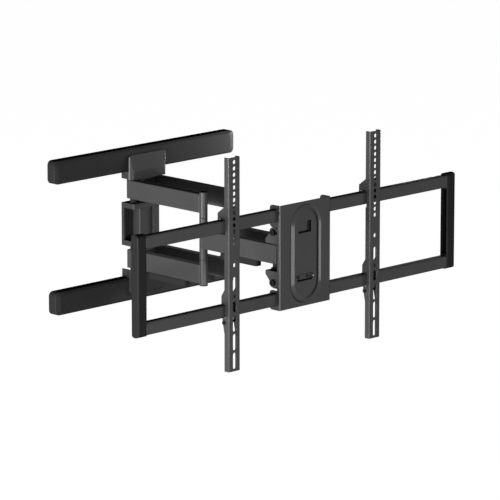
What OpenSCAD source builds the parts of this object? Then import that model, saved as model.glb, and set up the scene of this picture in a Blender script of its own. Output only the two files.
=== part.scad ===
// Full-motion wall mount for a flat screen: two wall rails, a twin-arm folding
// linkage, a tilting and levelling head, and a rail frame with two sliding brackets.
// Millimetres. +X right as seen from the room, +Y into the wall, +Z up.
// The origin is on the wall plane, at the middle of the mount.

/* [Wall rails and covers] */
// Height of each wall rail cover
cover_h = 48; // [46:1:56]
// Depth of a wall rail cover's straight side
cover_side_d = 20.4; // [18:0.2:21]
// Depth of the bevel on a wall rail cover
cover_bevel_d = 2.8; // [1:0.2:4]
// Width of the bevel at the ends of a wall rail cover
cover_bevel_w = 11; // [6:1:14]
// Width of the bevel at the top and bottom of a wall rail cover
cover_bevel_h = 5; // [3:0.5:7]
// Corner radius of a wall rail cover
cover_corner_r = 10; // [6:1:12]
// Wall thickness of the plastic covers
cover_wall = 2.2; // [1.6:0.2:2.6]
// Height of each wall rail's middle beyond the rear arms
rail_rise = 43.2; // [42:0.1:60]
// Height of the steel wall rails
steel_rail_h = 38; // [34:1:40]
// Depth of the steel wall rails
steel_rail_d = 15; // [12:1:17]
// Distance between the outer wall screws across the studs
stud_pitch = 406.4; // [340:0.2:500]
// Length of a wall rail cover beyond the outer wall screws
rail_end_l = 50.8; // [42:0.2:80]
// Width of the wall screw slots
screw_slot_w = 9; // [7:0.5:11]
// Length of the wall screw slots
screw_slot_l = 40; // [20:1:48]

/* [Wall column] */
// Thickness of the formed steel brackets
steel_t = 3; // [2.5:0.5:3.5]
// Half width of the middle bracket
middle_half_w = 50; // [49:0.5:56]
// Half height of the middle bracket
middle_half_h = 45; // [42:0.5:46]
// Depth of the middle bracket
middle_d = 38; // [34:0.5:40]
// Half height of the middle bracket's side windows
window_half_h = 34; // [25:0.5:34]
// Depth of the strip behind each side window
window_strip_d = 7.4; // [5:0.2:10]
// Place of the lap between the braces, to the right of the middle
brace_lap_x = 7; // [-10:1:10]
// Distance of the braces' rear edges from the wall
brace_back = 14.4; // [10:0.1:18]
// Half width of the spine
spine_half_w = 21.5; // [16:0.5:22]
// Depth of the spine's face from the wall
spine_d = 26; // [22:0.5:27]
// Half width of the upper and lower pivot brackets
pivot_bracket_half_w = 49.5; // [48.5:0.1:49.5]

/* [Pivot covers] */
// Half width of a pivot cover
pivot_cover_half_w = 52.4; // [52.4:0.1:60]
// Distance of a pivot cover's knee from the wall
pivot_cover_d = 32.6; // [32.6:0.2:38]
// Height of a pivot cover's knee above its inner edge
pivot_knee_h = 18; // [12:0.5:20]
// Height of a pivot cover
pivot_cover_h = 51; // [48:0.5:52]
// Corner radius of a pivot cover
pivot_cover_r = 14; // [8:0.5:15]

/* [Arms] */
// Distance of each pivot line from the middle plane
pivot_x = 36.4; // [36.4:0.2:40]
// Distance of the wall pivots from the wall
wall_pivot_y = 21; // [21:0.5:23]
// Distance from pivot to pivot along every arm
link_l = 206.5; // [165:0.5:260]
// Width of the arm tubes
arm_w = 17; // [14.2:0.1:20.4]
// Height of the arm tubes
arm_h = 38.7; // [32:0.1:48]
// Wall thickness of the arm tubes
arm_wall = 2.2; // [1.8:0.1:2.6]
// Corner radius of the arm tubes
arm_corner_r = 1.6; // [0.8:0.1:2.4]
// Height of the gap between a rear arm and each bracket that holds it
arm_gap = 8.6; // [7:0.1:12]
// How far a rear arm's tube passes behind its wall pivot
arm_tail = 10.3; // [9:0.1:10.3]
// How far a front arm's tube passes in front of its head pivot
arm_nose = 9; // [8:0.1:11]
// Gap between an arm tube's end and its elbow line
elbow_gap = 3.8; // [2:0.1:5]
// Radius of the pivot rods
rod_r = 5; // [4:0.1:5.4]
// Wall thickness of the pivot bushings
bushing_wall = 1.8; // [1.4:0.1:2.6]
// Gap in height between a rear arm and the front arm's elbow sleeve
sleeve_drop = 10.3; // [8:0.1:14]
// How far the elbow sleeves stand above the rear arms
sleeve_proud = 3.3; // [1:0.1:6]
// Thickness of the elbow washers
washer_t = 0.9; // [0.5:0.1:1.5]
// Thickness of the elbow caps
elbow_cap_t = 1.8; // [1:0.1:2.5]

/* [Cable covers] */
// Depth of the cable covers below the arms
clip_d = 12.3; // [9:0.1:14]
// Wall thickness of the cable covers
clip_wall = 1.6; // [1.2:0.1:2]
// Radius of the cable covers' rounded ends
clip_end_r = 5.4; // [3:0.1:7]
// Distance of a rear cable cover from its wall pivot
rear_clip_start = 52; // [40:1:60]
// Distance of a rear cable cover from its elbow
rear_clip_end = 46.5; // [30:0.5:60]
// Distance of a front cable cover from its elbow
front_clip_start = 54; // [40:1:60]
// Distance of a front cable cover from its head pivot
front_clip_end = 47.5; // [40:0.5:60]

/* [Head] */
// Outer half width of the head yokes
yoke_half_w = 65; // [64.6:0.1:65]
// Gap in height between the front arms and each yoke
yoke_gap = 8.6; // [7:0.1:12]
// How far a yoke's plate reaches in front of the head pivots
yoke_front = 27; // [24:0.5:27.5]
// Distance of the tilt bolts beyond the yokes' plates
tilt_bolt_rise = 23; // [22:0.5:26]
// Distance of the tilt axis in front of the head pivots
tilt_axis_d = 19.6; // [18:0.1:21]
// Radius of the tilt bolts
tilt_bolt_r = 3; // [2.5:0.5:3]
// Radius of the tilt bolts' heads
tilt_head_r = 6.3; // [5.5:0.1:6.3]
// Largest tilt forward, in degrees
tilt_down = 12; // [8:1:12]
// Largest tilt back, in degrees
tilt_up = 4; // [2:1:4]
// Largest level turn each way, in degrees
level_turn = 3; // [1:0.5:3]

/* [Centre plate] */
// Half width of the centre plate
plate_half_w = 72.5; // [72.5:0.5:76]
// Height of the centre plate beyond the frame rails
plate_lip = 8.3; // [6:0.1:14]
// Distance of the centre plate's face in front of the tilt axis
plate_face_d = 25.8; // [25.4:0.1:26.2]
// Thickness of the centre plate
plate_t = 2.5; // [2.2:0.1:2.6]
// Depth of the centre plate's flanges behind the frame rails
plate_flange_lip = 2.4; // [1.6:0.1:2.6]
// Depth of the centre plate's flanges between the rails
plate_rim_d = 7.5; // [5:0.5:7.5]
// Radius of the centre plate's side bends
plate_bend_r = 3.2; // [3:0.1:4]
// Height of the notch between the flanges beyond the tilt bolts
plate_notch_rise = 13; // [11:0.1:14]
// Half width of the pressed ring on the centre plate
ring_half_w = 43.8; // [36:0.2:50]
// Distance of the pressed ring from the centre plate's ends
ring_end = 6; // [4:0.5:20]
// Width of the pressed ring
ring_w = 12.8; // [10:0.2:14]
// Depth of the pressed ring
ring_d = 2.9; // [1.5:0.1:3]

/* [Screen frame] */
// Width of the screen frame
frame_w = 900; // [740:2:1100]
// Height of the frame rails
frame_rail_h = 26; // [21:0.1:32]
// Depth of the frame rails
frame_rail_d = 17.3; // [14.4:0.1:17.4]
// Corner radius of the frame rails
frame_rail_r = 4.2; // [2:0.1:6]
// Wall thickness of the frame rails
frame_rail_wall = 2; // [1.5:0.1:2.5]
// Gap in height between the tilt bracket's lugs and the frame rails
frame_rail_gap = 8.7; // [7:0.1:14]
// Height of the screen frame's middle above the tilt axis
frame_rise = 2.4; // [0:0.1:3]
// Width of the end posts
post_w = 23.4; // [18:0.1:28]
// Height of the end posts beyond the frame rails
post_lip = 3; // [1:0.1:5]
// Distance of the frame rails' faces behind the centre plate's face
frame_rail_back = 8.1; // [7.6:0.1:8.2]

/* [Screen brackets] */
// Distance between the screen brackets' hole lines
bracket_pitch = 400; // [300:5:600]
// Length of a screen bracket
bracket_l = 427; // [350:1:520]
// Width of a screen bracket
bracket_w = 31.6; // [26:0.1:38]
// Depth of a screen bracket's flanges
bracket_d = 12.2; // [11:0.1:12.6]
// Thickness of a screen bracket
bracket_t = 2.2; // [1.8:0.1:2.4]
// Height of a screen bracket's middle above the tilt axis
bracket_rise = 10.4; // [9:0.2:12]
// Distance of the screen brackets' faces in front of the centre plate's face
bracket_lead = 2; // [1:0.1:2.4]
// Radius of the screen brackets' round holes
screen_hole_r = 4.25; // [3.2:0.05:4.5]
// Distance between the round holes
screen_hole_pitch = 12.5; // [11:0.5:25]

/* [Clearances] */
// Radial clearance of a rod that turns in its bore
run_fit = 0.05; // [0.02:0.01:0.08]
// Radial clearance of a rod that is fixed in its hole
fixed_fit = 0.02; // [0.01:0.01:0.05]
// Radial clearance of the right head rod, where the linkage is opened
open_fit = 0.4; // [0.2:0.1:0.6]
// Gap between flat faces that slide on each other
slide_gap = 0.2; // [0.1:0.05:0.3]
// Gap between a screen bracket's hooks and the frame rails
hook_gap = 0.4; // [0.2:0.05:0.5]

/* [Hidden] */
$fn = 64;

// Colours of the finishes
steel_black = [0.13, 0.13, 0.14];
tube_grey = [0.24, 0.24, 0.25];
plastic_black = [0.17, 0.17, 0.18];
bolt_black = [0.07, 0.07, 0.08];
nylon_grey = [0.32, 0.32, 0.33];

// Lines along the depth, all measured from the wall towards the room (-Y)
cover_l = stud_pitch + 2 * rail_end_l;
elbow_y = wall_pivot_y + link_l;
head_y = elbow_y + link_l;
tilt_y = head_y + tilt_axis_d;
plate_face_y = tilt_y + plate_face_d;
plate_back_y = plate_face_y - plate_t;
bracket_face_y = plate_face_y + bracket_lead;
frame_face_y = plate_face_y - frame_rail_back;
frame_back_y = frame_face_y - frame_rail_d;
cover_face_y = cover_side_d + cover_bevel_d;

// Rear arm and pivot bracket levels
rear_low_z = middle_half_h + arm_gap;
rear_top_z = rear_low_z + arm_h;
rail_z = rear_top_z + rail_rise;
pin_plate_z = rear_top_z + arm_gap;
cover_edge_gap = 2.1;
pivot_cover_z = rear_top_z + cover_edge_gap;
pivot_side_z = pivot_cover_z + 0.6;
pivot_front_y = pivot_cover_d - 2 * cover_wall;
front_sleeve_half_h = rear_low_z - sleeve_drop;
elbow_half_h = rear_top_z + sleeve_proud;
bushing_r = rod_r + bushing_wall;
rod_nut_h = 4;
rod_nut_r = rod_r + 3;
rod_end_z = pin_plate_z + steel_t + rod_nut_h;
bolt_head_lip = 2.5;
bolt_head_t = 4;
shelf_clear = 0.3;
bend_r = steel_t + 2;
brace_clear = 1.8;
brace_half_w = pivot_x - rod_r - bolt_head_lip - brace_clear;
brace_d = middle_d - 2 * steel_t - hook_gap;
brace_lap = 12;

// Head levels
yoke_gap_half_h = arm_h / 2 + yoke_gap;
tilt_bolt_z = yoke_gap_half_h + tilt_bolt_rise;
yoke_ear_x = yoke_half_w - steel_t;
yoke_lobe_r = 10;
yoke_back_edge = 1.5;
tilt_washer_t = 0.8;
tilt_head_t = 3.5;
tilt_nut_t = 5;
tilt_nut_r = 5.7;
ear_front = 17;
ear_step = 8;
ear_tip_r = 10.2;
ear_slope_y = 9.9;
ear_slope_z = 2.6;
lug_x = yoke_ear_x - slide_gap;
lug_half_h = 12;
lug_back = 9.4;
lug_chamfer = 9;
ear_chamfer = 5;
lug_relief_w = 15;
lug_relief_inset = 3;
web_gap = 4.3;
web_front_y = plate_back_y - web_gap;
web_back_y = web_front_y - steel_t;
level_z = 12.8;
level_r = 5;

// Centre plate and frame levels
frame_rail_z = tilt_bolt_z + lug_half_h + frame_rail_gap + frame_rail_h / 2;
plate_h = 2 * (frame_rail_z + plate_lip) + frame_rail_h;
plate_flange_d = frame_rail_back + frame_rail_d + plate_flange_lip;
plate_notch_half_h = tilt_bolt_z + plate_notch_rise;
ring_h = plate_h - 2 * ring_end;
post_h = 2 * (frame_rail_z + post_lip) + frame_rail_h;
post_rise = 0.6;
rail_top_z = frame_rise + frame_rail_z + frame_rail_h / 2;
rail_up_low_z = rail_top_z - frame_rail_h;
rail_low_z = frame_rise - frame_rail_z - frame_rail_h / 2;
rail_low_top_z = rail_low_z + frame_rail_h;

// Screen bracket hole lines, measured from the bracket's lower end
bracket_low_z = bracket_rise - bracket_l / 2;
top_hole_z = bracket_l - 9.5;
big_slot_l = 33;
big_slot_pitch = 37.6;
big_slot_z = 21;
mid_slot_z = 130.2;
mid_slot_l = 22;
low_hole_z = 151;
upper_slot_z = 174.8;
upper_slot_l = 28.6;
lone_hole_z = 212.7;
hole_run_gap = 39;
screen_holes = 1 + floor((top_hole_z - lone_hole_z - hole_run_gap) / screen_hole_pitch);

level_screw_r = 2.5;
level_head_r = 3.4;
level_head_t = 1.2;
level_screw_tail = 4;
tray_half_w = 25.2;
tray_half_h = 7.6;
tray_slope = 2.4;
tray_wall = 1.2;
tray_floor_y = web_front_y + slide_gap;

lock_screw_r = 2.5;
lock_head_r = 4;
lock_head_t = 2.6;
lock_drop = 9.6;
lock_nut_r = 4.6;
lock_socket_r = 1.6;
lock_tail = 1;

// Screen bracket's flange: the hooks over the upper rail and the ears at the lower one
hook_t = 3.4;
hook_drop = 13;
hook_rise = 12;
hook_slope = 26;
low_ear_d = 5.6;
low_ear_h = 33;
low_ear_step = 6;
mid_ear_d = 8.4;
mid_ear_h = 17;
mid_ear_slope = 13;
seat_step = 4;

// ---------- shapes ----------

// Rectangle with rounded corners, about its middle
module round_rect(w, h, r) {
    square([w - 2 * r, h], center = true);
    square([w, h - 2 * r], center = true);
    for (i = [-1, 1], j = [-1, 1])
        translate([i * (w / 2 - r), j * (h / 2 - r)]) circle(r);
}

// Slot that stands up, l long from end to end and w wide
module slot_2d(w, l) {
    square([w, l - w], center = true);
    for (i = [-1, 1]) translate([0, i * (l - w) / 2]) circle(d = w);
}

// Extrude a flat shape along X, about X = 0: the shape's x is Y and its y is Z
module along_x(l) {
    rotate([90, 0, 90]) linear_extrude(l, center = true) children();
}

// Extrude a flat shape, drawn in X and Z, from y0 to y1 in front of the wall
module along_y(y0, y1) {
    translate([0, -y0, 0]) rotate([90, 0, 0]) linear_extrude(y1 - y0) children();
}

// Extrude a flat shape, drawn in X and Y, from z0 to z1
module along_z(z0, z1) {
    translate([0, 0, z0]) linear_extrude(z1 - z0) children();
}

// Box from its low corner to its high corner
module block(lo, hi) {
    translate(lo) cube(hi - lo);
}

// Upright rod or bore at x, y
module upright(x, y, r, z0, z1) {
    translate([x, y, z0]) cylinder(r = r, h = z1 - z0);
}

// Rod or bore along X, from x0 to x1
module crosswise(y, z, r, x0, x1) {
    translate([x0, y, z]) rotate([0, 90, 0]) cylinder(r = r, h = x1 - x0);
}

// Rod or bore along Y, from y0 to y1 in front of the wall
module lengthwise(x, z, r, y0, y1) {
    translate([x, -y0, z]) rotate([90, 0, 0]) cylinder(r = r, h = y1 - y0);
}

// The same piece on the other side of the middle plane
module mirror_x() {
    mirror([1, 0, 0]) children();
}

// The same piece turned upside down
module mirror_z() {
    mirror([0, 0, 1]) children();
}

// One piece, or its mirror image, by level: 1 is upper and -1 is lower
module on_level(level) {
    if (level > 0) children();
    else mirror_z() children();
}

// ---------- wall rails and covers ----------

rail_notch_half_w = middle_half_w + 3;
rail_t = 2.2;

module wall_rail() {
    low = rail_z - steel_rail_h / 2;
    high = rail_z + steel_rail_h / 2;
    half_l = cover_l / 2 - cover_corner_r;
    color(steel_black) difference() {
        block([-half_l, -steel_rail_d, low], [half_l, 0, high]);
        block([-cover_l, -cover_l, low + rail_t], [cover_l, -rail_t, high - rail_t]);
        block([-rail_notch_half_w, -cover_l, low - 1], [rail_notch_half_w, -rail_t, high]);
        for (i = [-1, 1], j = [0.5, 1]) translate([i * j * stud_pitch / 2, 0, rail_z])
            along_y(-1, steel_rail_d) rotate(90) slot_2d(screw_slot_w, screw_slot_l);
    }
}

// Cover outline: a round-cornered plate with its front edge bevelled all round
module bevelled_cover() {
    hull() {
        along_y(0, cover_side_d) round_rect(cover_l, cover_h, cover_corner_r);
        along_y(0, cover_face_y) round_rect(
            cover_l - 2 * cover_bevel_w, cover_h - 2 * cover_bevel_h, cover_corner_r - cover_wall
        );
    }
}

module rail_cover() {
    open_top = pivot_cover_z + pivot_cover_h - 2 * cover_wall;
    color(plastic_black) difference() {
        translate([0, 0, rail_z]) bevelled_cover();
        translate([0, 0, rail_z]) along_y(-1, cover_face_y - 2 * cover_wall) round_rect(
            cover_l - 2 * cover_wall, cover_h - 2 * cover_wall, cover_corner_r - cover_wall
        );
        block(
            [-pivot_bracket_half_w - shelf_clear, -cover_l, rail_z - cover_h],
            [pivot_bracket_half_w + shelf_clear, 1, open_top]
        );
    }
}

pivot_top_r = 8;
pivot_knee_lean = 1.4;

// Side view of a pivot cover's outside, set back by t all round
module pivot_cover_side(t) {
    top = pivot_cover_z + pivot_cover_h;
    lean = cover_face_y + slide_gap + cover_wall;
    polygon([
        [-cover_face_y - slide_gap + 2 * t, pivot_cover_z - 2 * t],
        [-pivot_cover_d + pivot_knee_lean + t, pivot_cover_z - 2 * t],
        [-pivot_cover_d + t, pivot_cover_z + pivot_knee_h],
        [-lean + t, top - t],
        [-cover_face_y - slide_gap + 2 * t, top - t]
    ]);
}

// Plan of a pivot cover: a rectangle with its two front corners rounded
module pivot_cover_plan(half_w, front, r) {
    translate([0, -front / 2]) difference() {
        square([2 * half_w, front], center = true);
        for (i = [-1, 1]) translate([i * half_w, -front / 2]) difference() {
            square(2 * r, center = true);
            translate([-i * r, r]) circle(r);
        }
    }
}

// Skirt of the pivot cover that runs back below the rail cover
module pivot_skirt(half_w, low) {
    block(
        [-half_w, -cover_face_y - 1, low],
        [half_w, -cover_side_d + cover_wall - hook_gap, rail_z - cover_h / 2 - shelf_clear]
    );
}

// Front view of a pivot cover: its two outer corners are rounded
module pivot_cover_front(half_w, high, r) {
    low = pivot_cover_z - 2 * cover_wall;
    translate([-half_w, low]) square([2 * half_w, high - low - r]);
    translate([-half_w + r, low]) square([2 * (half_w - r), high - low]);
    for (i = [-1, 1]) translate([i * (half_w - r), high - r]) circle(r);
}

// Solid form of a pivot cover, set back by t all round
module pivot_cover_form(t) {
    half_w = pivot_cover_half_w - t;
    intersection() {
        union() {
            along_x(2 * half_w) pivot_cover_side(t);
            pivot_skirt(half_w, pivot_cover_z - t);
        }
        along_z(0, cover_l) pivot_cover_plan(half_w, pivot_cover_d - t, pivot_cover_r - t);
        along_y(0, pivot_cover_d)
            pivot_cover_front(half_w, pivot_cover_z + pivot_cover_h - t, pivot_top_r - t);
    }
}

module pivot_cover() {
    inner_w = pivot_cover_half_w - pivot_cover_r;
    color(plastic_black) difference() {
        pivot_cover_form(0);
        pivot_cover_form(cover_wall);
        block(
            [-inner_w, -cover_face_y - cover_wall, pivot_cover_z - 1],
            [inner_w, 0, pivot_cover_z + pivot_cover_h - 3 * cover_wall]
        );
    }
}

// ---------- wall column ----------

// Upright U channel, open towards the wall
module spine() {
    top = pivot_cover_z + pivot_cover_h - 2 * cover_wall - 1;
    color(steel_black) difference() {
        block([-spine_half_w, -spine_d, -top], [spine_half_w, -steel_t - shelf_clear, top]);
        block(
            [-spine_half_w + steel_t, -spine_d + steel_t, -top - 1],
            [spine_half_w - steel_t, 1, top + 1]
        );
        for (i = [-1, 1]) spine_chamfer(i, top);
    }
}

// Cut that keeps the spine's ends inside the sloping pivot covers
module spine_chamfer(level, top) {
    on_level(level) along_x(4 * spine_half_w) polygon([
        [-spine_d - 1, pivot_cover_z + pivot_knee_h],
        [-spine_d - 1, top + 1],
        [-cover_side_d + 2, top + 1]
    ]);
}

// Hole through a shelf for the spine
module spine_pass(z0, z1) {
    block(
        [-spine_half_w - shelf_clear, -spine_d - shelf_clear, z0],
        [spine_half_w + shelf_clear, -steel_t, z1]
    );
}

// Side view of an upper pivot bracket's cheek: it steps round the wall rail
module pivot_cheek_side() {
    rail_low = rail_z - steel_rail_h / 2 - shelf_clear;
    top = pivot_cover_z + pivot_cover_h - 4 * cover_wall;
    polygon([
        [0, pivot_side_z], [-pivot_front_y, pivot_side_z],
        [-pivot_front_y, pivot_cover_z + pivot_knee_h],
        [-cover_side_d, top], [-rail_t - shelf_clear, top],
        [-rail_t - shelf_clear, rail_low], [0, rail_low]
    ]);
}

module pivot_bracket() {
    back_z = rail_z + steel_rail_h / 2 - rail_t - shelf_clear;
    low = pin_plate_z - 1;
    high = pin_plate_z + steel_t + 1;
    color(steel_black) difference() {
        intersection() {
            along_z(0, cover_l) pivot_cover_plan(
                pivot_bracket_half_w, pivot_front_y, pivot_cover_r - cover_wall
            );
            pivot_bracket_form(back_z);
        }
        spine_pass(low, high);
        for (i = [-1, 1]) upright(i * pivot_x, -wall_pivot_y, rod_r + fixed_fit, low, high);
    }
}

module pivot_bracket_form(back_z) {
    for (i = [-1, 1]) translate([i * (pivot_bracket_half_w - steel_t / 2), 0, 0])
        along_x(steel_t) pivot_cheek_side();
    block(
        [-pivot_bracket_half_w, -pivot_front_y, pin_plate_z],
        [pivot_bracket_half_w, -rail_t - shelf_clear, pin_plate_z + steel_t]
    );
    for (i = [-1, 1]) scale([i, 1, 1]) block(
        [spine_half_w + 1, -rail_t - shelf_clear - steel_t, pin_plate_z],
        [pivot_bracket_half_w, -rail_t - shelf_clear, back_z]
    );
}

module pivot_bracket_middle() {
    front = middle_d;
    inner_w = middle_half_w - steel_t;
    inner_h = middle_half_h - steel_t;
    color(steel_black) difference() {
        along_z(-middle_half_h, middle_half_h) pivot_cover_plan(middle_half_w, front, bend_r);
        along_z(-inner_h, inner_h) translate([0, -steel_t])
            pivot_cover_plan(inner_w, front - 2 * steel_t, bend_r - steel_t);
        block([-cover_l, -front - 1, -window_half_h], [cover_l, -window_strip_d, window_half_h]);
        spine_pass(-cover_l, cover_l);
        for (i = [-1, 1]) upright(
            i * pivot_x, -wall_pivot_y, rod_r + fixed_fit, -middle_half_h - 1, middle_half_h + 1
        );
    }
}

// The rear brace is bent round the left side and runs past the middle
module brace_rear() {
    inner_h = middle_half_h - steel_t - shelf_clear;
    color(steel_black) difference() {
        along_z(-inner_h, inner_h) pivot_cover_plan(brace_half_w, brace_d, bend_r);
        along_z(-inner_h - 1, inner_h + 1)
            pivot_cover_plan(brace_half_w - steel_t, brace_d - steel_t, bend_r - steel_t);
        block([-cover_l, -brace_back, -inner_h - 1], [cover_l, 1, inner_h + 1]);
        block([brace_lap_x + brace_lap, -cover_l, -inner_h - 1], [cover_l, 1, inner_h + 1]);
    }
}

// The front brace is bent round the right side and laps over the rear one
module brace_front() {
    inner_h = middle_half_h - steel_t - shelf_clear;
    front = brace_d + steel_t;
    color(steel_black) difference() {
        along_z(-inner_h, inner_h) pivot_cover_plan(brace_half_w, front, bend_r);
        along_z(-inner_h - 1, inner_h + 1)
            pivot_cover_plan(brace_half_w - steel_t, front - steel_t, bend_r - steel_t);
        block([-cover_l, -brace_back, -inner_h - 1], [cover_l, 1, inner_h + 1]);
        block([-cover_l, -cover_l, -inner_h - 1], [brace_lap_x, 1, inner_h + 1]);
    }
}

// Each wall pivot is a bolt up through the middle bracket, the arm and the outer bracket
module wall_pivot_bolts() {
    head_z = middle_half_h - steel_t;
    color(bolt_black) for (i = [-1, 1], j = [-1, 1]) scale([i, 1, j]) {
        upright(pivot_x, -wall_pivot_y, rod_r, head_z, rod_end_z);
        upright(pivot_x, -wall_pivot_y, rod_r + bolt_head_lip, head_z - bolt_head_t, head_z);
    }
}

// Bushings fill the gaps between the rear arms and the brackets
module wall_bushings() {
    color(nylon_grey) for (i = [-1, 1], j = [-1, 1]) {
        scale([i, 1, j]) wall_bushing(middle_half_h);
        scale([i, 1, j]) wall_bushing(rear_top_z);
    }
}

module wall_bushing(z) {
    difference() {
        upright(pivot_x, -wall_pivot_y, bushing_r, z + slide_gap / 2, z + arm_gap - slide_gap / 2);
        upright(pivot_x, -wall_pivot_y, rod_r + fixed_fit, z - 1, z + arm_gap + 1);
    }
}

// Six-sided nut about a rod that stands up
module upright_nut(x, y, r, bore, z0, z1) {
    difference() {
        translate([x, y, z0]) cylinder(r = r, h = z1 - z0, $fn = 6);
        upright(x, y, bore, z0 - 1, z1 + 1);
    }
}

module wall_bolt_nuts() {
    low = pin_plate_z + steel_t;
    color(bolt_black) for (i = [-1, 1], j = [-1, 1])
        scale([i, 1, j])
            upright_nut(pivot_x, -wall_pivot_y, rod_nut_r, rod_r + fixed_fit, low, low + rod_nut_h);
}

// ---------- arms ----------

// Rectangular tube along Y with closed walls, from y0 to y1 in front of the wall
module arm_tube(y0, y1) {
    difference() {
        along_y(y0, y1) round_rect(arm_w, arm_h, arm_corner_r);
        along_y(y0 + arm_wall, y1 - arm_wall)
            square([arm_w - 2 * arm_wall, arm_h - 2 * arm_wall], center = true);
    }
}

// A rear arm about its own pivot plane, at the upper level, on the left side
module rear_arm() {
    sleeve_low = front_sleeve_half_h + washer_t + slide_gap;
    color(tube_grey) translate([-pivot_x, 0, 0]) difference() {
        union() {
            translate([0, 0, rear_low_z + arm_h / 2])
                arm_tube(wall_pivot_y - arm_tail, elbow_y - elbow_gap);
            upright(0, -wall_pivot_y, arm_w / 2 - arm_wall / 2, rear_low_z, rear_top_z);
            upright(0, -elbow_y, arm_w / 2, sleeve_low, elbow_half_h);
        }
        upright(0, -wall_pivot_y, rod_r + run_fit, rear_low_z - 1, rear_top_z + 1);
        upright(0, -elbow_y, rod_r + fixed_fit, sleeve_low - 1, elbow_half_h + 1);
    }
}

// A front arm on the left side; fit is the radial clearance at its head rod
module front_arm(fit) {
    half_h = arm_h / 2;
    color(tube_grey) translate([-pivot_x, 0, 0]) difference() {
        union() {
            arm_tube(elbow_y + elbow_gap, head_y + arm_nose);
            upright(0, -head_y, arm_w / 2 - arm_wall / 2, -half_h, half_h);
            upright(0, -elbow_y, arm_w / 2, -front_sleeve_half_h, front_sleeve_half_h);
        }
        upright(0, -elbow_y, rod_r + run_fit, -front_sleeve_half_h - 1, front_sleeve_half_h + 1);
        upright(0, -head_y, rod_r + fit, -half_h - 1, half_h + 1);
    }
}

module elbow_rod() {
    color(bolt_black) upright(-pivot_x, -elbow_y, rod_r, -elbow_half_h, elbow_half_h);
}

module elbow_washers() {
    washer_inset = 0.3;
    z = front_sleeve_half_h + slide_gap;
    color(nylon_grey) for (j = [-1, 1]) scale([1, 1, j]) difference() {
        upright(-pivot_x, -elbow_y, arm_w / 2 - washer_inset, z, z + washer_t);
        upright(-pivot_x, -elbow_y, rod_r + run_fit, z - 1, z + washer_t + 1);
    }
}

// Push-in caps over the ends of the elbow stack, with a rounded rim
module elbow_caps() {
    rim = 0.8;
    lip = 0.2;
    r = arm_w / 2 + lip;
    color(plastic_black) for (j = [-1, 1]) scale([1, 1, j])
        translate([-pivot_x, -elbow_y, elbow_half_h]) rotate_extrude() {
            square([r, elbow_cap_t - rim]);
            square([r - rim, elbow_cap_t]);
            translate([r - rim, elbow_cap_t - rim]) circle(rim);
        }
}

// Cable cover: a trough with rounded ends that closes against the arm above it
module cable_cover(y0, l, z) {
    color(plastic_black) translate([-pivot_x, -y0 - l / 2, z]) difference() {
        along_z(-clip_d, 0) round_rect(arm_w, l, clip_end_r);
        along_z(-clip_d + clip_wall, 1)
            round_rect(arm_w - 2 * clip_wall, l - 2 * clip_wall, clip_end_r - clip_wall);
    }
}

module cable_cover_rear() {
    l = link_l - rear_clip_start - rear_clip_end;
    cable_cover(wall_pivot_y + rear_clip_start, l, -rear_top_z - slide_gap / 4);
}

module cable_cover_front() {
    l = link_l - front_clip_start - front_clip_end;
    cable_cover(elbow_y + front_clip_start, l, -arm_h / 2 - slide_gap / 4);
}

// ---------- head ----------

// Side view of a yoke's ear, drawn upwards from the yoke's plate. The upper ears carry
// the slots that the upper tilt bolts run in; the lower ears hold the lower bolts. The
// front edge leans back as far as the centre plate tilts.
module yoke_ear_side(level) {
    back = -head_y + yoke_back_edge;
    front = -tilt_y - ear_front;
    high = tilt_bolt_z + ear_tip_r;
    lean = (high - yoke_gap_half_h) * tan(tilt_down);
    difference() {
        union() {
            polygon([
                [back, yoke_gap_half_h], [back, yoke_gap_half_h + ear_step],
                [-tilt_y + ear_slope_y, tilt_bolt_z - ear_slope_z],
                [-tilt_y, tilt_bolt_z], [-tilt_y, high], [front + lean, high],
                [front, yoke_gap_half_h]
            ]);
            translate([-tilt_y, tilt_bolt_z]) circle(ear_tip_r);
        }
        translate([front + lean, high]) rotate(45) square(ear_chamfer, center = true);
        if (level > 0) translate([-tilt_y, 0])
            arc_slot(tilt_bolt_z, tilt_bolt_r + slide_gap, 90 - tilt_up, 90 + tilt_down);
        else translate([-tilt_y, tilt_bolt_z]) circle(tilt_bolt_r + fixed_fit);
    }
}

// Plan of a yoke's plate: straight front, a lobe round each head rod
module yoke_plan() {
    back = -head_y + yoke_back_edge;
    front = -head_y - yoke_front;
    translate([-yoke_half_w, front]) square([2 * yoke_half_w, back - front]);
    for (i = [-1, 1]) translate([i * pivot_x, -head_y]) circle(yoke_lobe_r);
}

module yoke(level) {
    color(steel_black) difference() {
        union() {
            along_z(yoke_gap_half_h, yoke_gap_half_h + steel_t) yoke_plan();
            for (i = [-1, 1]) translate([i * (yoke_half_w - steel_t / 2), 0, 0])
                along_x(steel_t) yoke_ear_side(level);
        }
        for (i = [-1, 1]) upright(
            i * pivot_x, -head_y, rod_r + fixed_fit,
            yoke_gap_half_h - 1, yoke_gap_half_h + steel_t + 1
        );
    }
}

head_rod_top = yoke_gap_half_h + steel_t;
module head_rods() {
    cap_r = 7.5;
    cap_t = 3;
    color(bolt_black) for (i = [-1, 1]) {
        upright(i * pivot_x, -head_y, rod_r, -head_rod_top - rod_nut_h, head_rod_top);
        upright(i * pivot_x, -head_y, cap_r, head_rod_top, head_rod_top + cap_t);
    }
}

module head_bushings() {
    z = arm_h / 2;
    color(nylon_grey) for (i = [-1, 1], j = [-1, 1]) scale([i, 1, j]) difference() {
        upright(pivot_x, -head_y, bushing_r, z + slide_gap / 2, yoke_gap_half_h - slide_gap / 4);
        upright(pivot_x, -head_y, rod_r + fixed_fit, z - 1, yoke_gap_half_h + 1);
    }
}

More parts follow.
